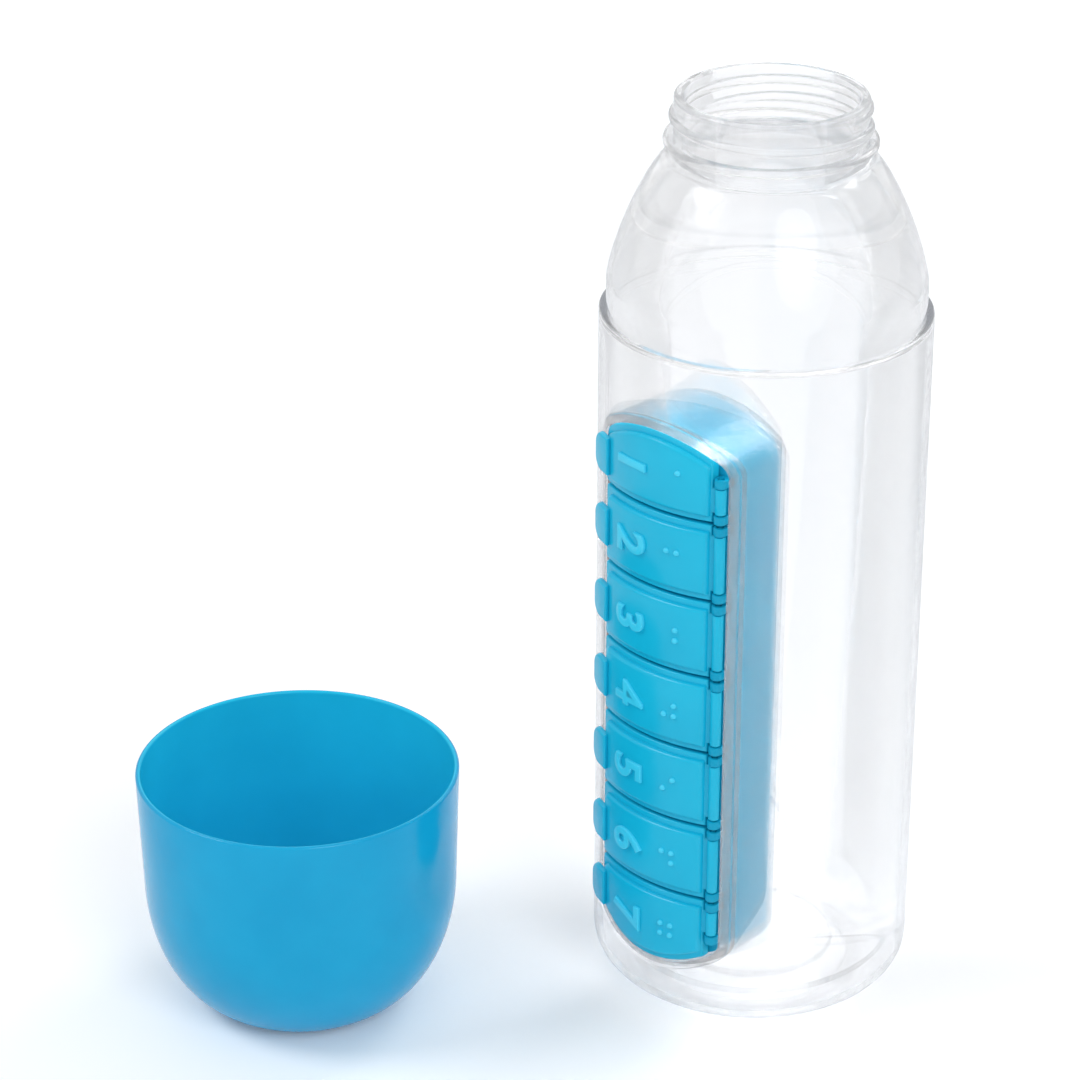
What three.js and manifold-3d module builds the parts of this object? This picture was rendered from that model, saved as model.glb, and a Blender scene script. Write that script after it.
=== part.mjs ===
// A water bottle with a seven-day pill organizer and a drinking cup.
// The bottle is one clear blown piece that stands on its foot ring, with its neck open.
// The organizer fills a recess in the bottle's side, faces -Y and pulls straight out of it.
// Its lids turn on a hinge line along the +X edge. The domed cup stands beside the bottle.
// Millimetres, +Z up, with the origin on the table halfway between bottle and cup.
import * as THREE from "three";
import { mergeVertices } from "three/addons/utils/BufferGeometryUtils.js";
import Module from "manifold-3d";

const wasm = await Module();
wasm.setup();

// Fits and fineness
const fit = 0.3; // clearance of everything that seats, slides or turns
const facets = 48; // sides of the large round forms
const arcSteps = 4; // steps of a small rounding
const domeSteps = 7; // steps of the shoulder and of the cup's dome
const reach = 60; // how far cutting tools run past the bottle's axis

// Bottle
const bodyDiameter = 75;
const bottleWall = 1.8;
const heelRadius = 9; // rounding between the side and the foot ring
const footWidth = 5; // flat part of the foot ring
const pushUp = 4; // height of the hollow under the base
const collarHeight = 7; // straight band that the cup slips over
const ledgeRound = 0.6;
const shoulderRise = 29;
const shoulderFullness = 1.3; // 1 is a cone, 2 an ellipse
const neckDiameter = 43;
const neckWall = 2.2;
const neckFillet = 1.5;
const beadRise = 3.5; // middle of the bead above the shoulder
const beadDiameter = 47.6;
const beadThickness = 2;
const lipToBead = 10.5;
const lipRound = 1;
const lipToThread = 2.6;
const threadPitch = 4;
const threadTurns = 1.5;
const threadHeight = 1.1;
const threadFade = 0.1; // share of the thread's run in which each end sinks away

// Organizer tray
const dayCount = 7;
const cellPitch = 19.2;
const organizerWidth = 35;
const organizerDepth = 17.8;
const endBulge = 6; // of its upper and lower end, seen from the front
const organizerCorner = 4; // rounding between the ends and the sides
const organizerRise = 16; // height of its lower end above the table
const trayDrop = 0.4; // of the tray's rim below the bottle's surface at the recess's sides
const trayWall = 1.4;
const dividerWall = 1.2;
const backRound = 3;
const cellRound = 2;

// Recess in the bottle
const recessRimWidth = 2;
const recessRimHeight = 0.8;
const ledgeMargin = 17.6; // from the organizer to the cup's ledge

// Lids and hinges
const lidProud = 1.5; // a lid's raised panel above the bottle's surface
const lidEdgeProud = 0.4; // a lid's border above the bottle's surface
const lidBorder = 1.5;
const lidSkin = 1.4;
const lidGap = 0.8; // between neighbouring lids
const plugDepth = 1.2; // lip that dips into the compartment
const plugWall = 0.9;
const plugSetback = 2.2; // of the plug from the hinge line
const tabReach = 3;
const tabWidth = 9;
const tabRound = 3;
const tabThickness = 1.4;
const knuckleRadius = 1.3;
const lugRadius = 1.5;
const lugLength = 2;
const lugRoot = 1.2; // how far a lug reaches down into the tray's wall
const pinRadius = 0.55;
const hingeSides = 12;

// Cup
const cupHeight = 60;
const cupWall = 1.2;
const cupFit = 0.4; // between the cup's wall and the bottle's collar
const cupFootDiameter = 32;
const cupDomeRise = 32;
const cupDraft = 0.9; // how much narrower the wall is where the dome begins

// Places on the table
const bottleX = 34;
const bottleY = 42;

// Derived sizes
const bodyRadius = bodyDiameter / 2;
const neckRadius = neckDiameter / 2;
const beadRadius = beadDiameter / 2;
const collarRadius = bodyRadius - cupWall - cupFit;
const organizerHalf = organizerWidth / 2;
const organizerTop = organizerRise + dayCount * cellPitch;
const endRadius = (organizerHalf ** 2 + endBulge ** 2) / (2 * endBulge);
const cornerX = organizerHalf - organizerCorner;
const cornerTurn = Math.acos(cornerX / (endRadius - organizerCorner)) / (Math.PI / 2);
const cornerDrop = endRadius - Math.sqrt((endRadius - organizerCorner) ** 2 - cornerX ** 2);
const rimPlane = Math.sqrt(bodyRadius ** 2 - organizerHalf ** 2) - trayDrop;
const backPlane = rimPlane - organizerDepth;
const ledgeHeight = organizerTop + ledgeMargin;
const collarTop = ledgeHeight + collarHeight;
const shoulderTop = collarTop + shoulderRise;
const beadHeight = shoulderTop + beadRise;
const bottleHeight = beadHeight + lipToBead;
const lidRadius = bodyRadius + lidProud;
const lidEdgeRadius = bodyRadius + lidEdgeProud;
const recessRimRadius = bodyRadius + recessRimHeight;
const hingeX = organizerHalf - lugRadius;
const hingeY = -(rimPlane + fit + knuckleRadius);

// Materials
const clearPlastic = new THREE.MeshStandardMaterial({
  color: 0xeaf1f6,
  roughness: 0.08,
  metalness: 0,
  transparent: true,
  opacity: 0.35,
});
const cupPlastic = new THREE.MeshStandardMaterial({ color: 0x1fa7d7, roughness: 0.2, metalness: 0 });
const trayPlastic = new THREE.MeshStandardMaterial({ color: 0x22b0dc, roughness: 0.3, metalness: 0 });
const lidPlastic = new THREE.MeshStandardMaterial({ color: 0x22b8dd, roughness: 0.3, metalness: 0 });

// Makes a solid that can be joined and cut from a closed three.js geometry.
function solid(geometry) {
  geometry.deleteAttribute("normal");
  geometry.deleteAttribute("uv");
  const merged = mergeVertices(geometry, 1e-4);
  return new wasm.Manifold(
    new wasm.Mesh({
      numProp: 3,
      vertProperties: merged.attributes.position.array,
      triVerts: new Uint32Array(merged.index.array),
    }),
  );
}

// Makes a named mesh from a solid.
function meshOf(name, body, material) {
  const { vertProperties, triVerts } = body.getMesh();
  const geometry = new THREE.BufferGeometry();
  geometry.setAttribute("position", new THREE.BufferAttribute(vertProperties, 3));
  geometry.setIndex(new THREE.BufferAttribute(triVerts, 1));
  const mesh = new THREE.Mesh(geometry.toNonIndexed(), material);
  mesh.geometry.computeVertexNormals();
  mesh.name = name;
  return mesh;
}

// Points of an elliptical arc, with angles in quarter turns. In the first quarter a fullness
// below 2 flattens it towards the straight line between its ends.
function arc(centreX, centreY, radiusX, radiusY, from, to, steps, fullness = 2) {
  const points = [];
  for (let i = 0; i <= steps; i++) {
    const angle = (Math.PI / 2) * (from + ((to - from) * i) / steps);
    const share = (value) => Math.sign(value) * Math.abs(value) ** (2 / fullness);
    const x = centreX + radiusX * share(Math.cos(angle));
    const y = centreY + radiusY * share(Math.sin(angle));
    points.push(new THREE.Vector2(x, y));
  }
  return points;
}

// Turns a profile of radius and height about the Z axis.
function revolve(profile) {
  return solid(new THREE.LatheGeometry(profile, facets).rotateX(Math.PI / 2));
}

// A solid cylinder about the bottle's axis, tall enough for every cut.
function drum(radius) {
  const tall = 2 * bottleHeight;
  return solid(new THREE.CylinderGeometry(radius, radius, tall, facets).rotateX(Math.PI / 2));
}

// A box between two corners.
function block(x0, x1, y0, y1, z0, z1) {
  const geometry = new THREE.BoxGeometry(x1 - x0, y1 - y0, z1 - z0);
  return solid(geometry.translate((x0 + x1) / 2, (y0 + y1) / 2, (z0 + z1) / 2));
}

// A bar along the hinge line.
function hingeBar(radius, z0, z1) {
  const geometry = new THREE.CylinderGeometry(radius, radius, z1 - z0, hingeSides);
  return solid(geometry.rotateX(Math.PI / 2).translate(hingeX, hingeY, (z0 + z1) / 2));
}

// A rounded rectangle about the Z axis, seen from the front, in X and Z.
function roundedOutline(half, z0, z1, round) {
  return new THREE.Shape([
    ...arc(half - round, z1 - round, round, round, 0, 1, arcSteps),
    ...arc(round - half, z1 - round, round, round, 1, 2, arcSteps),
    ...arc(round - half, z0 + round, round, round, 2, 3, arcSteps),
    ...arc(half - round, z0 + round, round, round, 3, 4, arcSteps),
  ]);
}

// Pushes a front outline out along -Y, from one distance from the bottle's axis to another.
// The edge nearer the axis is rounded.
function pushOut(shape, near, far, round = 0) {
  const geometry = new THREE.ExtrudeGeometry(shape, {
    depth: far - near - 2 * round,
    bevelEnabled: round > 0,
    bevelThickness: round,
    bevelSize: round,
    bevelOffset: -round,
    bevelSegments: 3,
  });
  return solid(geometry.rotateX(Math.PI / 2).translate(0, -near - round, 0));
}

// One bulging end of the organizer's outline, from its +X side to its -X side.
function endOutline(grow) {
  const corner = organizerCorner + grow;
  const bulge = endRadius + grow;
  return [
    ...arc(cornerX, -cornerDrop, corner, corner, 0, cornerTurn, 4),
    ...arc(0, -endRadius, bulge, bulge, cornerTurn, 2 - cornerTurn, 8).slice(1, -1),
    ...arc(-cornerX, -cornerDrop, corner, corner, 2 - cornerTurn, 2, 4),
  ];
}

// The organizer's front outline, grown or shrunk all round.
function organizerOutline(grow) {
  const upper = endOutline(grow).map(({ x, y }) => new THREE.Vector2(x, organizerTop + y));
  const lower = endOutline(grow).map(({ x, y }) => new THREE.Vector2(-x, organizerRise - y));
  return new THREE.Shape([...upper, ...lower]);
}

// Profile of the bottle up to the shoulder's top, on its outside or inset by the wall.
function bodyProfile(inset, neckRoot) {
  const heelCentre = bodyRadius - heelRadius;
  const footInner = heelCentre - footWidth;
  const ledge = ledgeHeight - inset;
  const sideRadius = bodyRadius - inset;
  const bandRadius = collarRadius - inset;
  const shoulder = { x: bandRadius - neckRoot, y: shoulderRise - inset };
  return [
    new THREE.Vector2(0, pushUp + inset),
    new THREE.Vector2(footInner - pushUp, pushUp + inset),
    new THREE.Vector2(footInner, inset),
    ...arc(heelCentre, heelRadius, heelRadius - inset, heelRadius - inset, -1, 0, arcSteps),
    ...arc(sideRadius - ledgeRound, ledge - ledgeRound, ledgeRound, ledgeRound, 0, 1, 2),
    new THREE.Vector2(bandRadius, ledge),
    ...arc(neckRoot, collarTop, shoulder.x, shoulder.y, 0, 1, domeSteps, shoulderFullness),
  ];
}

// The helical ridge on the neck. Both ends sink into the wall.
class ThreadLine extends THREE.Curve {
  getPoint(t, target = new THREE.Vector3()) {
    const nearestEnd = Math.min(t, 1 - t);
    const sunk = Math.max(0, 1 - nearestEnd / threadFade) * threadHeight;
    const angle = t * threadTurns * 2 * Math.PI;
    const height = bottleHeight - lipToThread - t * threadTurns * threadPitch;
    const radius = neckRadius - sunk;
    return target.set(radius * Math.cos(angle), radius * Math.sin(angle), height);
  }
}

function neckThread() {
  const section = new THREE.Shape(arc(0, 0, threadHeight, threadHeight, 0, 3.5, 7));
  const steps = Math.round(threadTurns * 24);
  return solid(
    new THREE.ExtrudeGeometry(section, { steps, bevelEnabled: false, extrudePath: new ThreadLine() }),
  );
}

// The bottle's outside without its recess.
function bottleOutside() {
  const beadRound = beadThickness / 2;
  const lipCentre = neckRadius - lipRound;
  return revolve([
    ...bodyProfile(0, neckRadius + neckFillet),
    ...arc(neckRadius + neckFillet, shoulderTop + neckFillet, neckFillet, neckFillet, 3, 2, 3).slice(1),
    new THREE.Vector2(neckRadius, beadHeight - beadRound),
    ...arc(beadRadius - beadRound, beadHeight, beadRound, beadRound, -1, 1, arcSteps),
    new THREE.Vector2(neckRadius, beadHeight + beadRound),
    ...arc(lipCentre, bottleHeight - lipRound, lipRound, lipRound, 0, 1, 3),
    new THREE.Vector2(0, bottleHeight),
  ]);
}

// The space inside the bottle without its recess, open through the mouth.
function bottleInside() {
  const mouthRadius = neckRadius - neckWall;
  const lipBreak = neckWall / 4;
  return revolve([
    ...bodyProfile(bottleWall, mouthRadius),
    new THREE.Vector2(mouthRadius, bottleHeight - lipBreak),
    new THREE.Vector2(mouthRadius + lipBreak, bottleHeight),
    new THREE.Vector2(mouthRadius + lipBreak, bottleHeight + lipRound),
    new THREE.Vector2(0, bottleHeight + lipRound),
  ]);
}

// The recess that the organizer fills.
function recess(grow) {
  return pushOut(organizerOutline(fit + grow), backPlane - fit - grow, reach, backRound + fit + grow);
}

// The raised rim round the mouth of the recess.
function recessRim() {
  return pushOut(organizerOutline(fit + recessRimWidth), backPlane, reach).intersect(drum(recessRimRadius));
}

function bottle() {
  const cavity = bottleInside().subtract(recess(bottleWall));
  const outside = bottleOutside().add(neckThread()).add(recessRim());
  return outside.subtract(cavity).subtract(recess(0));
}

// The stretch of its side that a lid takes up. An outer lid leaves the given length free at the
// organizer's rounded corner.
function sideSpan(day, cornerLength) {
  const high = organizerTop - (day - 1) * cellPitch;
  const low = high - cellPitch;
  return {
    low: day === dayCount ? low + cornerLength : low + lidGap / 2,
    high: day === 1 ? high - cornerLength : high - lidGap / 2,
  };
}

// Heights of the two tray lugs that carry a lid.
function lugSpans(day) {
  const { low, high } = sideSpan(day, cornerDrop);
  return [
    [low, low + lugLength],
    [high - lugLength, high],
  ];
}

// A lug of the tray with the hole for the lid's pin.
function lug([z0, z1]) {
  const foot = block(hingeX - lugRadius, hingeX + lugRadius, hingeY, lugRoot - rimPlane, z0, z1);
  const hole = hingeBar(pinRadius + fit, z0 - fit, z1 + fit);
  return foot.add(hingeBar(lugRadius, z0, z1)).subtract(hole);
}

function tray() {
  const keep = block(-reach, reach, -rimPlane, 0, 0, bottleHeight);
  const outside = pushOut(organizerOutline(0), backPlane, reach, backRound).intersect(keep);
  let cells = pushOut(organizerOutline(-trayWall), backPlane + trayWall, reach, cellRound);
  for (let day = 1; day < dayCount; day++) {
    const middle = organizerTop - day * cellPitch;
    const low = middle - dividerWall / 2;
    cells = cells.subtract(block(-reach, reach, -reach, 0, low, low + dividerWall));
  }
  let body = outside.subtract(cells);
  for (let day = 1; day <= dayCount; day++) {
    for (const span of lugSpans(day)) body = body.add(lug(span));
  }
  return body;
}

// The thumb tab on the edge away from the hinge. It follows the bottle just above its rim.
function thumbTab(day) {
  const { low, high } = sideSpan(day, cornerDrop / 2);
  const middle = (low + high) / 2;
  const inner = recessRimRadius + fit;
  const half = organizerHalf + tabReach;
  const outline = roundedOutline(half, middle - tabWidth / 2, middle + tabWidth / 2, tabRound);
  const shell = drum(inner + tabThickness).subtract(drum(inner));
  const edgeOnly = block(-reach, tabReach - organizerHalf, -reach, 0, 0, bottleHeight);
  return pushOut(outline, backPlane, reach).intersect(shell).intersect(edgeOnly);
}

// One lid: a cover with a raised panel that follows the bottle's curve, a plug lip, a knuckle with
// its two pins, and a thumb tab.
function lid(day) {
  const { low, high } = sideSpan(day, 0);
  const plugInset = trayWall + fit;
  const plugEnd = dividerWall / 2 + fit - lidGap / 2;
  const plugX = hingeX - plugSetback;
  const clear = lugRadius + fit;
  const slab = (x, end) => block(-reach, x, -reach, 0, low + end, high - end);
  const cover = pushOut(organizerOutline(0), rimPlane + fit, reach)
    .intersect(slab(hingeX, 0))
    .intersect(drum(lidEdgeRadius));
  const panel = pushOut(organizerOutline(-lidBorder), rimPlane + fit, reach)
    .intersect(slab(hingeX - clear, lidBorder))
    .intersect(drum(lidRadius));
  const plug = pushOut(organizerOutline(-plugInset), rimPlane - plugDepth, rimPlane + 2 * fit)
    .intersect(slab(plugX, plugEnd));
  const hollow = pushOut(organizerOutline(-plugInset - plugWall), backPlane, reach)
    .intersect(slab(plugX - plugWall, plugEnd + plugWall))
    .intersect(drum(lidRadius - lidSkin));
  let body = cover.add(panel).add(plug).subtract(hollow);
  const [lower, upper] = lugSpans(day);
  for (const [z0, z1] of [lower, upper]) {
    body = body.subtract(hingeBar(clear, z0 - fit, z1 + fit));
    body = body.subtract(block(hingeX - clear, reach, hingeY, 0, z0 - fit, z1 + fit));
  }
  const beyondHinge = block(hingeX - knuckleRadius, reach, -reach, 0, organizerRise, organizerTop);
  const atHinge = block(-reach, reach, -reach, 0, lower[0], upper[1]);
  return body
    .subtract(beyondHinge.subtract(atHinge))
    .add(hingeBar(knuckleRadius, lower[1] + fit, upper[0] - fit))
    .add(hingeBar(pinRadius, lower[0] + fit, upper[1] - fit))
    .add(thumbTab(day));
}

// The cup stands on its flat foot with its mouth up. The wall ends in a rounded rim.
function cup() {
  const footRadius = cupFootDiameter / 2;
  const domeWidth = bodyRadius - cupDraft - footRadius;
  const rimRound = cupWall / 2;
  const inside = arc(footRadius, cupDomeRise, domeWidth - cupWall, cupDomeRise - cupWall, 0, -1, domeSteps);
  return revolve([
    new THREE.Vector2(0, 0),
    ...arc(footRadius, cupDomeRise, domeWidth, cupDomeRise, -1, 0, domeSteps),
    ...arc(bodyRadius - rimRound, cupHeight - rimRound, rimRound, rimRound, 0, 2, 4),
    ...inside,
    new THREE.Vector2(0, cupWall),
  ]);
}

const set = new THREE.Group();
const bottleAndOrganizer = new THREE.Group();
bottleAndOrganizer.position.set(bottleX, bottleY, 0);
bottleAndOrganizer.add(meshOf("bottle", bottle(), clearPlastic));
bottleAndOrganizer.add(meshOf("organizer_tray", tray(), trayPlastic));
for (let day = 1; day <= dayCount; day++) {
  bottleAndOrganizer.add(meshOf(`lid_${day}`, lid(day), lidPlastic));
}
const cupMesh = meshOf("cup", cup(), cupPlastic);
cupMesh.position.set(-bottleX, -bottleY, 0);
set.add(bottleAndOrganizer, cupMesh);

export default set;
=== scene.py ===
"""Looks for a clear bottle with a blue seven-day pill organizer in its side and a blue cup."""

import math

import bmesh
import bpy
from mathutils import Matrix, Vector


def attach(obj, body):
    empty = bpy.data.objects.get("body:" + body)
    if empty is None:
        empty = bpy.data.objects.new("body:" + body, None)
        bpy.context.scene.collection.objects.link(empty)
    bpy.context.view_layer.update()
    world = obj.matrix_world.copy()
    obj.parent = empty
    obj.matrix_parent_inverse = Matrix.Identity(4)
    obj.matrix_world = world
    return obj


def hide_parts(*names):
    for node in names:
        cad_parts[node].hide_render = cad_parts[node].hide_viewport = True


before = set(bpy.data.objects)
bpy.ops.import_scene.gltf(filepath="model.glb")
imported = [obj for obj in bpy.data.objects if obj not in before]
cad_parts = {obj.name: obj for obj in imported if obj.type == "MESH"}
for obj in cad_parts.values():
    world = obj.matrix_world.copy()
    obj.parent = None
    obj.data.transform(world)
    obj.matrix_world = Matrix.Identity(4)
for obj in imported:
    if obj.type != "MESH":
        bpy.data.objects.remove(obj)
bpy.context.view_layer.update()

# Pieces are modelled in millimetres about the bottle's or the cup's own axis
MM = 0.001
BOTTLE_PLACE = Vector((0.034, 0.042, 0.0))
CUP_PLACE = Vector((-0.034, -0.042, 0.0))
FIT = 0.3

# Tolerances, and how far a cutting shape reaches past what it cuts
MERGE = 0.0005
SAME_LEVEL = 1e-4
ON_PLANE = 1e-5
OVERSHOOT = 1.0
CLEAR_OF_BOTTLE = 60.0

# How finely round shapes are divided, and the angles in degrees up to which they look smooth
SMOOTHING = 35.0
CUP_SMOOTHING = 60.0
TURNS = 144
ROUND_STEPS = 6
DOME_STEPS = 20
CROWN_SLICE = 1.5

# Bottle
BODY = 37.5
WALL = 1.8
HEEL = 9.0
FOOT_WIDTH = 5.0
PUSH_UP = 4.0
COLLAR_HEIGHT = 7.0
COLLAR = 35.9
LEDGE_ROUND = 0.6
SHOULDER_RISE = 29.0
SHOULDER_FULLNESS = 1.3
NECK = 21.5
NECK_WALL = 2.2
NECK_FILLET = 1.5
BEAD_RISE = 3.5
BEAD = 23.8
BEAD_ROUND = 1.0
LIP_TO_BEAD = 10.5
LIP_ROUND = 1.0
LIP_TO_THREAD = 2.6
THREAD_PITCH = 4.0
THREAD_TURNS = 1.5
THREAD_HEIGHT = 1.1
THREAD_FADE = 0.1
THREAD_STEPS = 48

# Organizer
DAYS = 7
PITCH = 19.2
HALF = 17.5
END_BULGE = 6.0
CORNER = 4.0
RIM_SET_IN = 0.4
TRAY_DEPTH = 17.8
ORGANIZER_LOW = 16.0
ORGANIZER_HIGH = ORGANIZER_LOW + DAYS * PITCH
END_RADIUS = (HALF**2 + END_BULGE**2) / (2 * END_BULGE)
CORNER_X = HALF - CORNER
CORNER_TURN = math.acos(CORNER_X / (END_RADIUS - CORNER)) / (math.pi / 2)
CORNER_DROP = END_RADIUS - math.sqrt((END_RADIUS - CORNER) ** 2 - CORNER_X**2)
RIM_PLANE = math.sqrt(BODY**2 - HALF**2) - RIM_SET_IN
BACK_PLANE = RIM_PLANE - TRAY_DEPTH
TRAY_WALL = 1.4
TRAY_EDGE = 0.25
DIVIDER = 1.2
BACK_ROUND = 3.0
CELL_ROUND = 1.6
CELL_CORNER = 0.8

# Recess
RIM_WIDTH = 2.0
RIM_PROUD = 0.8
RIM_RADIUS = BODY + RIM_PROUD
RIM_EDGE = 0.5

# Heights up the bottle, which follow from the organizer's top
ORGANIZER_TO_LEDGE = 17.6
LEDGE = ORGANIZER_HIGH + ORGANIZER_TO_LEDGE
COLLAR_TOP = LEDGE + COLLAR_HEIGHT
SHOULDER_TOP = COLLAR_TOP + SHOULDER_RISE
BEAD_HEIGHT = SHOULDER_TOP + BEAD_RISE
BOTTLE_HEIGHT = BEAD_HEIGHT + LIP_TO_BEAD

# Lids
LID_PROUD = 1.5
LID_EDGE_PROUD = 0.4
LID_RADIUS = BODY + LID_PROUD
LID_EDGE_RADIUS = BODY + LID_EDGE_PROUD
LID_BORDER = 1.5
LID_SKIN = 1.4
LID_GAP = 0.8
LID_EDGE = 0.35
LID_CORNER = 0.8
PANEL_EDGE = 0.9
PANEL_CORNER = 1.6
PANEL_OVERLAP = 0.5
PLUG_DEPTH = 1.2
PLUG_WALL = 0.9
PLUG_SETBACK = 2.2
PLUG_CORNER = 0.5
PLUG_EDGE = 0.2
PLUG_OVERLAP = 0.4
HOLLOW_EDGE = 0.3
TAB_REACH = 3.0
TAB_WIDTH = 9.0
TAB_ROUND = 3.0
TAB_THICKNESS = 1.4
TAB_UNDERSIDE_EDGE = 0.2
TAB_EDGE = 0.5
KNUCKLE = 1.3
LUG = 1.5
LUG_LENGTH = 2.0
LUG_ROOT = 1.2
LUG_EDGE = 0.2
PIN = 0.55
BAR_END_SHARE = 0.2
HINGE_X = HALF - LUG
NOTCH_X = HINGE_X - LUG - FIT
HINGE_Y = -(RIM_PLANE + FIT + KNUCKLE)

# Raised marks on the lids
NUMERAL_HEIGHT = 8.6
TYPE_SIZE = 1.4 * NUMERAL_HEIGHT
STROKE_EXTRA = 0.1
NUMERAL_X = -6.5
NUMERAL_PROUD = 0.75
NUMERAL_ROUND = 0.25
DOT_RADIUS = 0.75
DOT_SPACING = 2.6
DOTS_X = 7.0
DOT_CELLS = {
    1: [(0, 0)],
    2: [(0, 0), (0, 1)],
    3: [(0, 0), (1, 0)],
    4: [(0, 0), (1, 0), (1, 1)],
    5: [(0, 0), (1, 1)],
    6: [(0, 0), (0, 1), (1, 0)],
    7: [(0, 0), (0, 1), (1, 0), (1, 1)],
}

# Cup
CUP_HEIGHT = 60.0
CUP_WALL = 1.2
CUP_FOOT = 16.0
CUP_DOME_RISE = 32.0
CUP_DRAFT = 0.9

# Stage
FLOOR_REACH = 6.0
STAGE_CENTRE = (0.0, 0.0, 0.08)


def arc(centre, radii, start, end, steps=ROUND_STEPS, fullness=2.0):
    """Points of an elliptical arc, with angles in quarter turns. A fullness below 2 flattens it."""
    points = []
    for i in range(steps + 1):
        angle = math.pi / 2 * (start + (end - start) * i / steps)
        turned = (math.cos(angle), math.sin(angle))
        bent = [math.copysign(abs(value) ** (2 / fullness), value) for value in turned]
        points.append((centre[0] + radii[0] * bent[0], centre[1] + radii[1] * bent[1]))
    return points


def finished(name, bm, place, smooth_angle=SMOOTHING):
    """Turns a bmesh in millimetres into an object in metres, with its place in its mesh."""
    bmesh.ops.remove_doubles(bm, verts=bm.verts, dist=MERGE)
    bmesh.ops.recalc_face_normals(bm, faces=bm.faces)
    bmesh.ops.transform(bm, matrix=Matrix.Translation(place) @ Matrix.Scale(MM, 4), verts=bm.verts)
    mesh = bpy.data.meshes.new(name)
    bm.to_mesh(mesh)
    bm.free()
    mesh.shade_smooth()
    mesh.set_sharp_from_angle(angle=math.radians(smooth_angle))
    piece = bpy.data.objects.new(name, mesh)
    bpy.context.scene.collection.objects.link(piece)
    return piece


def combine(first, second, operation):
    """Joins, cuts or intersects two closed bmeshes and returns the result."""
    objects = []
    for bm in (first, second):
        bmesh.ops.remove_doubles(bm, verts=bm.verts, dist=MERGE)
        bmesh.ops.recalc_face_normals(bm, faces=bm.faces)
        mesh = bpy.data.meshes.new("working")
        bm.to_mesh(mesh)
        bm.free()
        ob = bpy.data.objects.new("working", mesh)
        bpy.context.scene.collection.objects.link(ob)
        objects.append(ob)
    modifier = objects[0].modifiers.new("combine", "BOOLEAN")
    modifier.object = objects[1]
    modifier.operation = operation
    modifier.solver = "EXACT"
    evaluated = objects[0].evaluated_get(bpy.context.evaluated_depsgraph_get())
    result = bmesh.new()
    result.from_mesh(evaluated.to_mesh())
    evaluated.to_mesh_clear()
    for ob in objects:
        mesh = ob.data
        bpy.data.objects.remove(ob)
        bpy.data.meshes.remove(mesh)
    return result


def spun(profile):
    """A solid of revolution about Z from a profile of radius and height."""
    bm = bmesh.new()
    verts = [bm.verts.new((r, 0, z)) for r, z in profile]
    edges = [bm.edges.new(pair) for pair in zip(verts, verts[1:])]
    bmesh.ops.spin(
        bm, geom=verts + edges, cent=(0, 0, 0), axis=(0, 0, 1),
        angle=2 * math.pi, steps=TURNS, use_merge=True,
    )
    bmesh.ops.remove_doubles(bm, verts=bm.verts, dist=MERGE)
    return bm


def pushed_out(corners, way):
    """A flat face from its corners, pushed out into a solid."""
    bm = bmesh.new()
    face = bm.faces.new([bm.verts.new(corner) for corner in corners])
    pushed = bmesh.ops.extrude_face_region(bm, geom=[face], use_keep_orig=True)
    moved = [v for v in pushed["geom"] if isinstance(v, bmesh.types.BMVert)]
    bmesh.ops.translate(bm, verts=moved, vec=way)
    bmesh.ops.recalc_face_normals(bm, faces=bm.faces)
    return bm


def soften_ends(bm, rounding):
    """Rounds the edges of an upright piece's two flat ends."""
    ends = [e for e in bm.edges if abs(e.verts[0].co.z - e.verts[1].co.z) < SAME_LEVEL]
    bmesh.ops.bevel(
        bm, geom=ends, offset=rounding, offset_type="OFFSET", affect="EDGES",
        segments=2, profile=0.5, material=-1,
    )


def prism(points, near, far, near_round=0.0, far_round=0.0):
    """A front outline in X and Z pushed out along -Y, with either face's edge rounded."""
    bm = pushed_out([(x, -near, z) for x, z in points], (0, near - far, 0))
    for level, rounding in ((near, near_round), (far, far_round)):
        if rounding:
            rim = [e for e in bm.edges if all(abs(v.co.y + level) < SAME_LEVEL for v in e.verts)]
            bmesh.ops.bevel(
                bm, geom=rim, offset=rounding, offset_type="OFFSET", affect="EDGES",
                segments=4, profile=0.5, material=-1, clamp_overlap=True,
            )
    return bm


def rounded_outline(half, low, high, corner, steps=8):
    """A rounded rectangle about the Z axis, in X and Z."""
    points = []
    for turn, (x, z) in enumerate(((1, 1), (-1, 1), (-1, -1), (1, -1))):
        centre = (x * (half - corner), high - corner if z > 0 else low + corner)
        points += arc(centre, (corner, corner), turn, turn + 1, steps)
    return points


def end_outline(grow):
    """One bulging end of the organizer's outline, from its +X side to its -X side."""
    corner, bulge = CORNER + grow, END_RADIUS + grow
    points = arc((CORNER_X, -CORNER_DROP), (corner, corner), 0, CORNER_TURN, 8)
    points += arc((0, -END_RADIUS), (bulge, bulge), CORNER_TURN, 2 - CORNER_TURN, 28)[1:-1]
    return points + arc((-CORNER_X, -CORNER_DROP), (corner, corner), 2 - CORNER_TURN, 2, 8)


def organizer_outline(grow):
    """The organizer's whole outline, grown all round."""
    upper = [(x, ORGANIZER_HIGH + z) for x, z in end_outline(grow)]
    lower = [(-x, ORGANIZER_LOW - z) for x, z in end_outline(grow)]
    return upper + lower


def left_of(points, right):
    """The part of a line of points, drawn from right to left, that lies left of a limit."""
    kept = [point for point in points if point[0] < right]
    before = points[len(points) - len(kept) - 1]
    share = (right - before[0]) / (kept[0][0] - before[0])
    return [(right, before[1] + share * (kept[0][1] - before[1]))] + kept


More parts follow.
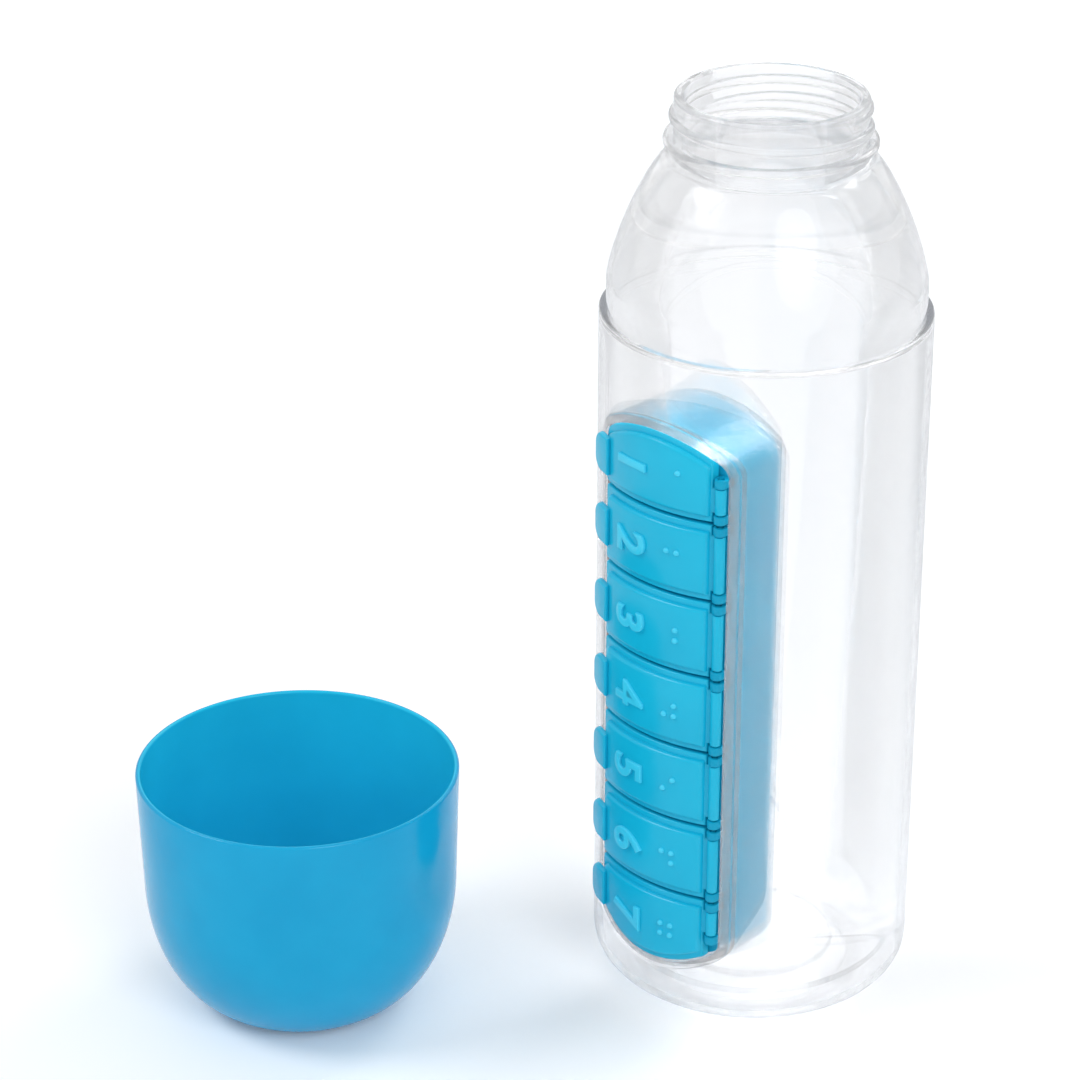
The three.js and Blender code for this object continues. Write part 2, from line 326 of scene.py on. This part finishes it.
def crowned(points, near, radius, edge):
    """A prism whose outer face follows a cylinder about the bottle's axis."""
    bm = prism(points, near, CLEAR_OF_BOTTLE, far_round=edge)
    lowest = min(x for x, _ in points)
    count = int((max(x for x, _ in points) - lowest) / CROWN_SLICE)
    for i in range(1, count + 1):
        geometry = bm.verts[:] + bm.edges[:] + bm.faces[:]
        bmesh.ops.bisect_plane(
            bm, geom=geometry, dist=ON_PLANE,
            plane_co=(lowest + i * CROWN_SLICE, 0, 0), plane_no=(1, 0, 0),
        )
    middle = (near + CLEAR_OF_BOTTLE) / 2
    for v in bm.verts:
        if -v.co.y > middle:
            v.co.y = -(math.sqrt(radius**2 - v.co.x**2) - (CLEAR_OF_BOTTLE + v.co.y))
    return bm


def append(target, extra):
    """Adds a bmesh's shells to another one."""
    mesh = bpy.data.meshes.new("working")
    extra.to_mesh(mesh)
    extra.free()
    target.from_mesh(mesh)
    bpy.data.meshes.remove(mesh)


def bar(radius, low, high, sides=24):
    """An upright round bar on the hinge line, with softened ends."""
    bm = bmesh.new()
    middle = Matrix.Translation((HINGE_X, HINGE_Y, (low + high) / 2))
    bmesh.ops.create_cone(
        bm, cap_ends=True, segments=sides, radius1=radius, radius2=radius, depth=high - low, matrix=middle
    )
    soften_ends(bm, radius * BAR_END_SHARE)
    return bm


# The bottle


def body_profile(inset, root):
    """The line from the foot's centre up to the neck, set in by the wall's thickness for the inside."""
    heel_centre = BODY - HEEL
    foot_inner = heel_centre - FOOT_WIDTH
    ledge = LEDGE - inset
    return [
        (0, PUSH_UP + inset),
        (foot_inner - PUSH_UP, PUSH_UP + inset),
        (foot_inner, inset),
        *arc((heel_centre, HEEL), (HEEL - inset,) * 2, -1, 0),
        *arc((BODY - inset - LEDGE_ROUND, ledge - LEDGE_ROUND), (LEDGE_ROUND,) * 2, 0, 1, 4),
        (COLLAR - inset, ledge),
        *arc(
            (root, COLLAR_TOP), (COLLAR - inset - root, SHOULDER_RISE - inset), 0, 1,
            DOME_STEPS, SHOULDER_FULLNESS,
        ),
    ]


def thread_ridge():
    """The helical ridge on the neck, whose ends sink into the wall."""
    bm = bmesh.new()
    steps = int(THREAD_TURNS * THREAD_STEPS)
    rings = []
    for i in range(steps + 1):
        share = i / steps
        sunk = max(0.0, 1 - min(share, 1 - share) / THREAD_FADE) * THREAD_HEIGHT
        turned = Matrix.Rotation(share * THREAD_TURNS * 2 * math.pi, 4, "Z")
        height = BOTTLE_HEIGHT - LIP_TO_THREAD - share * THREAD_TURNS * THREAD_PITCH
        place = turned @ Matrix.Translation((NECK - sunk, 0, height)) @ Matrix.Rotation(math.pi / 2, 4, "X")
        ring = bmesh.ops.create_circle(
            bm, cap_ends=i in (0, steps), segments=14, radius=THREAD_HEIGHT, matrix=place
        )
        rings.append({e for v in ring["verts"] for e in v.link_edges})
    for before, after in zip(rings, rings[1:]):
        bmesh.ops.bridge_loops(bm, edges=list(before | after))
    return bm


def bottle_outside():
    lip_centre = (NECK - LIP_ROUND, BOTTLE_HEIGHT - LIP_ROUND)
    return spun([
        *body_profile(0, NECK + NECK_FILLET),
        *arc((NECK + NECK_FILLET, SHOULDER_TOP + NECK_FILLET), (NECK_FILLET,) * 2, 3, 2)[1:],
        (NECK, BEAD_HEIGHT - BEAD_ROUND),
        *arc((BEAD - BEAD_ROUND, BEAD_HEIGHT), (BEAD_ROUND,) * 2, -1, 1, 10),
        (NECK, BEAD_HEIGHT + BEAD_ROUND),
        *arc(lip_centre, (LIP_ROUND,) * 2, 0, 1),
        (0, BOTTLE_HEIGHT),
    ])


def bottle_inside():
    mouth = NECK - NECK_WALL
    flare = NECK_WALL / 4
    return spun([
        *body_profile(WALL, mouth),
        (mouth, BOTTLE_HEIGHT - flare),
        (mouth + flare, BOTTLE_HEIGHT),
        (mouth + flare, BOTTLE_HEIGHT + LIP_ROUND),
        (0, BOTTLE_HEIGHT + LIP_ROUND),
    ])


def recess(grow):
    """The well that the organizer fills, grown all round by a wall's thickness."""
    gap = FIT + grow
    return prism(organizer_outline(gap), BACK_PLANE - gap, CLEAR_OF_BOTTLE, near_round=BACK_ROUND + gap)


def recess_rim():
    """The raised rim round the well, which follows the body's curve."""
    return crowned(organizer_outline(FIT + RIM_WIDTH), BACK_PLANE, RIM_RADIUS, RIM_EDGE)


def make_bottle():
    outside = combine(bottle_outside(), thread_ridge(), "UNION")
    outside = combine(outside, recess_rim(), "UNION")
    cavity = combine(bottle_inside(), recess(WALL), "DIFFERENCE")
    body = combine(outside, cavity, "DIFFERENCE")
    return finished("clear_bottle", combine(body, recess(0), "DIFFERENCE"), BOTTLE_PLACE)


# The lids


def side_span(day, corner_length):
    """The stretch of its side that a lid takes up. An outer lid leaves some length free at the corner."""
    high = ORGANIZER_HIGH - (day - 1) * PITCH
    low = high - PITCH
    low += corner_length if day == DAYS else LID_GAP / 2
    high -= corner_length if day == 1 else LID_GAP / 2
    return low, high


def lid_shape(day, inset, end, right, corner):
    """An outline inside a lid, from its upper right corner round to its lower right one."""
    low, high = side_span(day, 0)
    left = inset - HALF
    if day == 1:
        upper = [(x, ORGANIZER_HIGH + z) for x, z in left_of(end_outline(-inset), right)]
    else:
        upper = [(right, high - end)] + arc((left + corner, high - end - corner), (corner, corner), 1, 2)
    if day == DAYS:
        lower = [(x, ORGANIZER_LOW - z) for x, z in reversed(left_of(end_outline(-inset), right))]
    else:
        lower = arc((left + corner, low + end + corner), (corner, corner), 2, 3) + [(right, low + end)]
    return upper + lower


def cover_shape(day):
    """The whole lid's outline, with a notch in its hinge edge for each lug of the tray."""
    low, high = side_span(day, CORNER_DROP)
    low += LUG_LENGTH + FIT
    high -= LUG_LENGTH + FIT
    tongue = [(NOTCH_X, low), (HINGE_X, low), (HINGE_X, high), (NOTCH_X, high)]
    return lid_shape(day, 0, 0, NOTCH_X, LID_CORNER) + tongue


def on_crown(bm):
    """Wraps flat marks, drawn in X and Z with their height along -Y, onto the lids' crown."""
    for v in bm.verts:
        v.co.y -= math.sqrt(LID_RADIUS**2 - v.co.x**2)


def numeral(day):
    """The lid's plain number, raised, with its top towards the hinge."""
    curve = bpy.data.curves.new("working", "FONT")
    curve.body = str(day)
    curve.size = TYPE_SIZE
    curve.align_x = "CENTER"
    curve.align_y = "CENTER"
    curve.offset = STROKE_EXTRA
    curve.extrude = NUMERAL_PROUD - NUMERAL_ROUND
    curve.bevel_depth = NUMERAL_ROUND
    curve.bevel_resolution = 2
    curve.resolution_u = 6
    ob = bpy.data.objects.new("working", curve)
    bpy.context.scene.collection.objects.link(ob)
    evaluated = ob.evaluated_get(bpy.context.evaluated_depsgraph_get())
    bm = bmesh.new()
    bm.from_mesh(evaluated.to_mesh())
    evaluated.to_mesh_clear()
    bpy.data.objects.remove(ob)
    bpy.data.curves.remove(curve)
    return bm


def raised_marks(day):
    """The number and its dots, wrapped onto the crown of one lid."""
    low, high = side_span(day, 0)
    middle = (low + high) / 2
    upright = Matrix(((0, 1, 0, 0), (0, 0, -1, 0), (-1, 0, 0, 0), (0, 0, 0, 1)))
    marks = numeral(day)
    place = Matrix.Translation((NUMERAL_X, 0, middle)) @ upright
    bmesh.ops.transform(marks, matrix=place, verts=marks.verts)
    for column, row in DOT_CELLS[day]:
        x = DOTS_X - row * DOT_SPACING
        z = middle + DOT_SPACING / 2 - column * DOT_SPACING
        place = Matrix.Translation((x, 0, z))
        bmesh.ops.create_icosphere(marks, subdivisions=2, radius=DOT_RADIUS, matrix=place)
    on_crown(marks)
    # The marks take the lid's second material, whose lighter blue is a painted highlight on their edges
    for face in marks.faces:
        face.material_index = 1
    return marks


def thumb_tab(day):
    """The tab that reaches over the rim, bent to the bottle's curve."""
    low, high = side_span(day, CORNER_DROP / 2)
    middle = (low + high) / 2
    inner = RIM_RADIUS + FIT
    inland = TAB_REACH - HALF
    low, high = middle - TAB_WIDTH / 2, middle + TAB_WIDTH / 2
    outline = rounded_outline(HALF + TAB_REACH, low, high, TAB_ROUND)
    points = [(inland, high)] + [point for point in outline if point[0] < inland] + [(inland, low)]
    bm = prism(points, 0, TAB_THICKNESS, near_round=TAB_UNDERSIDE_EDGE, far_round=TAB_EDGE)
    for v in bm.verts:
        v.co.y = -math.sqrt((inner - v.co.y) ** 2 - v.co.x**2)
    return bm


def make_lid(day):
    """One lid: its cover, raised panel, hollow plug, knuckle, pins, tab and marks."""
    inset = TRAY_WALL + FIT
    end = DIVIDER / 2 + FIT - LID_GAP / 2
    right = HINGE_X - PLUG_SETBACK
    underside = RIM_PLANE + FIT
    body = crowned(cover_shape(day), underside, LID_EDGE_RADIUS, LID_EDGE)
    panel = lid_shape(day, LID_BORDER, LID_BORDER, NOTCH_X - FIT, PANEL_CORNER)
    body = combine(body, crowned(panel, underside + PANEL_OVERLAP, LID_RADIUS, PANEL_EDGE), "UNION")
    plug = lid_shape(day, inset, end, right, PLUG_CORNER)
    plug = prism(plug, RIM_PLANE - PLUG_DEPTH, underside + PLUG_OVERLAP, near_round=PLUG_EDGE)
    body = combine(body, plug, "UNION")
    hollow = lid_shape(day, inset + PLUG_WALL, end + PLUG_WALL, right - PLUG_WALL, PLUG_CORNER)
    body = combine(body, crowned(hollow, BACK_PLANE, LID_RADIUS - LID_SKIN, HOLLOW_EDGE), "DIFFERENCE")
    low, high = side_span(day, CORNER_DROP)
    append(body, bar(KNUCKLE, low + LUG_LENGTH + FIT, high - LUG_LENGTH - FIT))
    append(body, bar(PIN, low + FIT, high - FIT, sides=16))
    append(body, thumb_tab(day))
    append(body, raised_marks(day))
    return finished(f"lid_{day}_cover", body, BOTTLE_PLACE)


# The tray


def cell(day):
    """The space of one compartment. At an outer one's hinge side the wall is thick up to the lid."""
    right = NOTCH_X - FIT if day in (1, DAYS) else HALF - TRAY_WALL
    outline = lid_shape(day, TRAY_WALL, (DIVIDER - LID_GAP) / 2, right, CELL_CORNER)
    return prism(outline, BACK_PLANE + TRAY_WALL, RIM_PLANE + OVERSHOOT, near_round=CELL_ROUND)


def lug(low, high):
    """A lug that stands on the tray's wall, with the hole for a lid's pin."""
    root = -(RIM_PLANE - LUG_ROOT)
    dome = [(HINGE_X + x, HINGE_Y + y) for x, y in arc((0, 0), (LUG, LUG), 2, 4, 16)]
    outline = [*dome, (HINGE_X + LUG, root), (HINGE_X - LUG, root)]
    bm = pushed_out([(x, y, low) for x, y in outline], (0, 0, high - low))
    soften_ends(bm, LUG_EDGE)
    return combine(bm, bar(PIN + FIT, low - OVERSHOOT, high + OVERSHOOT), "DIFFERENCE")


def make_tray():
    """The tray with its seven compartments and a pair of lugs for each lid."""
    body = prism(organizer_outline(0), BACK_PLANE, RIM_PLANE, near_round=BACK_ROUND, far_round=TRAY_EDGE)
    for day in range(1, DAYS + 1):
        body = combine(body, cell(day), "DIFFERENCE")
    for day in range(1, DAYS + 1):
        low, high = side_span(day, CORNER_DROP)
        append(body, lug(low, low + LUG_LENGTH))
        append(body, lug(high - LUG_LENGTH, high))
    return finished("pill_tray", body, BOTTLE_PLACE)


# The cup


def make_cup():
    """The cup, whose inside faces take its second material, a lighter copy of its blue that is painted
    light in the hollow.
    """
    width = BODY - CUP_DRAFT - CUP_FOOT
    rim = CUP_WALL / 2
    bm = spun([
        (0, 0),
        *arc((CUP_FOOT, CUP_DOME_RISE), (width, CUP_DOME_RISE), -1, 0, DOME_STEPS),
        *arc((BODY - rim, CUP_HEIGHT - rim), (rim, rim), 0, 2, 10),
        *arc((CUP_FOOT, CUP_DOME_RISE), (width - CUP_WALL, CUP_DOME_RISE - CUP_WALL), 0, -1, DOME_STEPS),
        (0, CUP_WALL),
    ])
    piece = finished("drinking_cup", bm, CUP_PLACE, CUP_SMOOTHING)
    axis = CUP_PLACE.to_2d()
    # Inside faces take the lighter blue, which is painted light in the cup's hollow
    for face in piece.data.polygons:
        outward = face.center.to_2d() - axis
        face.material_index = int(face.normal.to_2d().dot(outward) < 0 or face.normal.z > 0.99)
    return piece


# Materials


def new_material(name):
    material = bpy.data.materials.new(name)
    material.use_nodes = True
    nodes = material.node_tree.nodes
    return material, nodes, material.node_tree.links, nodes["Principled BSDF"]


def moulded_grain(nodes, links, shader, scale, depth, rough):
    """Gives a moulded surface its faint waviness and uneven gloss."""
    place = nodes.new("ShaderNodeTexCoord")
    wave = nodes.new("ShaderNodeTexNoise")
    wave.inputs["Scale"].default_value = scale
    wave.inputs["Detail"].default_value = 3.0
    links.new(place.outputs["Object"], wave.inputs["Vector"])
    gloss = nodes.new("ShaderNodeMapRange")
    gloss.inputs["To Min"].default_value = rough[0]
    gloss.inputs["To Max"].default_value = rough[1]
    links.new(wave.outputs["Fac"], gloss.inputs["Value"])
    links.new(gloss.outputs["Result"], shader.inputs["Roughness"])
    bump = nodes.new("ShaderNodeBump")
    bump.inputs["Strength"].default_value = 0.25
    bump.inputs["Distance"].default_value = depth
    links.new(wave.outputs["Fac"], bump.inputs["Height"])
    links.new(bump.outputs["Normal"], shader.inputs["Normal"])
    return wave


def blue_plastic(name, deep, light, rough, shine):
    """Moulded blue plastic whose colour drifts a little between two tones."""
    material, nodes, links, shader = new_material(name)
    wave = moulded_grain(nodes, links, shader, 60.0, 0.00004, rough)
    tone = nodes.new("ShaderNodeValToRGB")
    tone.color_ramp.elements[0].position = 0.35
    tone.color_ramp.elements[0].color = (*deep, 1)
    tone.color_ramp.elements[1].position = 0.7
    tone.color_ramp.elements[1].color = (*light, 1)
    links.new(wave.outputs["Fac"], tone.inputs["Fac"])
    links.new(tone.outputs["Color"], shader.inputs["Base Color"])
    shader.inputs["IOR"].default_value = 1.49
    shader.inputs["Specular IOR Level"].default_value = shine
    return material


def clear_plastic():
    """Colourless blown plastic, thin and clear face on and greyer along its edges, with a light shadow. The
    near-white face on is the plastic's own; the grey along the edges is a painted dark reflection of
    surroundings that real edges show.
    """
    material, nodes, links, shader = new_material("clear_blown_plastic")
    moulded_grain(nodes, links, shader, 35.0, 0.00003, (0.0, 0.015))
    shader.inputs["IOR"].default_value = 1.46
    shader.inputs["Specular IOR Level"].default_value = 0.3
    shader.inputs["Transmission Weight"].default_value = 1.0
    edge = nodes.new("ShaderNodeLayerWeight")
    edge.inputs["Blend"].default_value = 0.5
    # The ramp's pale end is the plastic's own faint colour face on; its grey end along the edges is a
    # painted dark reflection, carried into the shadow too
    own_hue_and_painted_edge_grey = nodes.new("ShaderNodeValToRGB")
    own_hue_and_painted_edge_grey.color_ramp.elements[0].position = 0.68
    own_hue_and_painted_edge_grey.color_ramp.elements[0].color = (0.993, 0.994, 0.997, 1)
    own_hue_and_painted_edge_grey.color_ramp.elements[1].position = 0.98
    own_hue_and_painted_edge_grey.color_ramp.elements[1].color = (0.51, 0.54, 0.60, 1)
    links.new(edge.outputs["Facing"], own_hue_and_painted_edge_grey.inputs["Fac"])
    links.new(own_hue_and_painted_edge_grey.outputs["Color"], shader.inputs["Base Color"])
    see_through = nodes.new("ShaderNodeBsdfTransparent")
    links.new(own_hue_and_painted_edge_grey.outputs["Color"], see_through.inputs["Color"])
    clear = nodes.new("ShaderNodeMapRange")
    clear.inputs["From Max"].default_value = 0.7
    clear.inputs["To Min"].default_value = 0.7
    clear.inputs["To Max"].default_value = 0.1
    links.new(edge.outputs["Facing"], clear.inputs["Value"])
    light_path = nodes.new("ShaderNodeLightPath")
    thin = nodes.new("ShaderNodeMath")
    thin.operation = "MAXIMUM"
    links.new(light_path.outputs["Is Shadow Ray"], thin.inputs[0])
    links.new(clear.outputs["Result"], thin.inputs[1])
    mix = nodes.new("ShaderNodeMixShader")
    output = nodes["Material Output"]
    links.new(thin.outputs["Value"], mix.inputs["Fac"])
    links.new(shader.outputs["BSDF"], mix.inputs[1])
    links.new(see_through.outputs["BSDF"], mix.inputs[2])
    links.new(mix.outputs["Shader"], output.inputs["Surface"])
    return material


def floor_paint():
    """A pale floor that keeps its shadows and fades to white far from the object."""
    material, nodes, links, shader = new_material("pale_floor")
    place = nodes.new("ShaderNodeTexCoord")
    cloud = nodes.new("ShaderNodeTexNoise")
    cloud.inputs["Scale"].default_value = 3.0
    tone = nodes.new("ShaderNodeValToRGB")
    tone.color_ramp.elements[0].color = (0.955, 0.965, 0.98, 1)
    tone.color_ramp.elements[1].color = (0.97, 0.975, 0.985, 1)
    links.new(place.outputs["Object"], cloud.inputs["Vector"])
    links.new(cloud.outputs["Fac"], tone.inputs["Fac"])
    links.new(tone.outputs["Color"], shader.inputs["Base Color"])
    shader.inputs["Roughness"].default_value = 0.6
    shader.inputs["Emission Color"].default_value = (1, 1, 1, 1)
    reach = nodes.new("ShaderNodeVectorMath")
    reach.operation = "LENGTH"
    links.new(place.outputs["Object"], reach.inputs[0])
    fade = nodes.new("ShaderNodeMapRange")
    fade.inputs["From Min"].default_value = 0.4
    fade.inputs["From Max"].default_value = 1.8
    fade.inputs["To Min"].default_value = 0.06
    fade.inputs["To Max"].default_value = 0.7
    links.new(reach.outputs["Value"], fade.inputs["Value"])
    seen = nodes.new("ShaderNodeLightPath")
    lift = nodes.new("ShaderNodeMath")
    lift.operation = "MULTIPLY"
    links.new(seen.outputs["Is Camera Ray"], lift.inputs[0])
    links.new(fade.outputs["Result"], lift.inputs[1])
    links.new(lift.outputs["Value"], shader.inputs["Emission Strength"])
    return material


def dress(piece, material, body, slot, *nodes):
    """Gives a piece its material and the body it moves with, and hides the CAD nodes it stands for."""
    piece.data.materials.append(material)
    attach(piece, body)
    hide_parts(*nodes)


# Stage, light and camera


def make_floor():
    bm = bmesh.new()
    bmesh.ops.create_grid(bm, x_segments=8, y_segments=8, size=FLOOR_REACH)
    mesh = bpy.data.meshes.new("floor")
    bm.to_mesh(mesh)
    bm.free()
    floor = bpy.data.objects.new("floor", mesh)
    bpy.context.scene.collection.objects.link(floor)
    mesh.materials.append(floor_paint())


def soft_lamp(name, place, size, power):
    """A round soft lamp that points at the object."""
    lamp = bpy.data.lights.new(name, "AREA")
    lamp.shape = "DISK"
    lamp.size = size
    lamp.energy = power
    ob = bpy.data.objects.new(name, lamp)
    ob.location = place
    ob.rotation_euler = (Vector(STAGE_CENTRE) - Vector(place)).to_track_quat("-Z", "Y").to_euler()
    bpy.context.scene.collection.objects.link(ob)


def make_world():
    """Plain soft light, which the camera, reflections and clear plastic see as white."""
    world = bpy.data.worlds.new("studio")
    bpy.context.scene.world = world
    world.use_nodes = True
    nodes, links = world.node_tree.nodes, world.node_tree.links
    soft = nodes["Background"]
    soft.inputs["Color"].default_value = (0.97, 0.985, 1.0, 1)
    soft.inputs["Strength"].default_value = 0.56
    white = nodes.new("ShaderNodeBackground")
    white.inputs["Color"].default_value = (1, 1, 1, 1)
    white.inputs["Strength"].default_value = 1.0
    path = nodes.new("ShaderNodeLightPath")
    seen = path.outputs["Is Camera Ray"]
    for kind in ("Is Glossy Ray", "Is Transmission Ray"):
        either = nodes.new("ShaderNodeMath")
        either.operation = "MAXIMUM"
        links.new(seen, either.inputs[0])
        links.new(path.outputs[kind], either.inputs[1])
        seen = either.outputs["Value"]
    mix = nodes.new("ShaderNodeMixShader")
    links.new(seen, mix.inputs["Fac"])
    links.new(soft.outputs["Background"], mix.inputs[1])
    links.new(white.outputs["Background"], mix.inputs[2])
    links.new(mix.outputs["Shader"], nodes["World Output"].inputs["Surface"])


def make_camera(azimuth, elevation, distance, target, lens):
    """A camera that looks at a target from a compass angle and a height angle in degrees."""
    camera = bpy.data.cameras.new("camera")
    camera.lens = lens
    camera.sensor_width = 36.0
    camera.clip_start = 0.01
    ob = bpy.data.objects.new("camera", camera)
    a, e = math.radians(azimuth), math.radians(elevation)
    back = Vector((math.sin(a) * math.cos(e), -math.cos(a) * math.cos(e), math.sin(e)))
    ob.location = target + distance * back
    ob.rotation_euler = (-back).to_track_quat("-Z", "Y").to_euler()
    bpy.context.scene.collection.objects.link(ob)
    bpy.context.scene.camera = ob


make_floor()
make_world()
soft_lamp("key", (-0.7, -0.9, 1.3), size=0.7, power=9.6)
soft_lamp("fill", (1.1, -0.5, 0.9), size=0.8, power=7.6)
soft_lamp("back", (0.1, 1.2, 1.1), size=0.8, power=5.2)
make_camera(azimuth=42.0, elevation=26.0, distance=0.86, target=Vector((0.002, 0.002, 0.114)), lens=126.0)

cup_blue = blue_plastic(
    "cup_blue", (0.003, 0.32, 0.58), (0.005, 0.345, 0.61), rough=(0.13, 0.2), shine=0.2
)
# A lighter copy of the cup's blue for its inside faces: painted light where the hollow is in shade
painted_light_inside_blue = blue_plastic(
    "cup_blue_painted_light_inside", (0.012, 0.48, 0.73), (0.014, 0.51, 0.76), rough=(0.18, 0.25), shine=0.15
)
lid_blue = blue_plastic(
    "lid_blue", (0.006, 0.42, 0.635), (0.008, 0.45, 0.665), rough=(0.17, 0.25), shine=0.25
)
# Lighter blue for the raised marks: a painted highlight standing in for light on their glossy edges
mark_blue_painted_highlight = blue_plastic(
    "mark_blue_painted_highlight", (0.04, 0.55, 0.77), (0.05, 0.58, 0.80), rough=(0.2, 0.28), shine=0.3
)
# A deeper blue than the lids': painted shade, standing in for the shade on the tray's walls under and
# between the lids
tray_blue_painted_shade = blue_plastic(
    "tray_blue_painted_shade", (0.003, 0.30, 0.49), (0.005, 0.33, 0.52), rough=(0.22, 0.3), shine=0.15
)

bottle = make_bottle()
dress(bottle, clear_plastic(), "bottle", "clear_plastic", "bottle")
cup = make_cup()
dress(cup, cup_blue, "bottle", "blue_cup", "cup")
cup.data.materials.append(painted_light_inside_blue)
for day in range(1, DAYS + 1):
    lid = make_lid(day)
    dress(lid, lid_blue, f"lid_{day}", "blue_lids", f"lid_{day}")
    lid.data.materials.append(mark_blue_painted_highlight)
dress(make_tray(), tray_blue_painted_shade, "organizer", "blue_tray", "organizer_tray")

bpy.context.scene.view_settings.view_transform = "Standard"
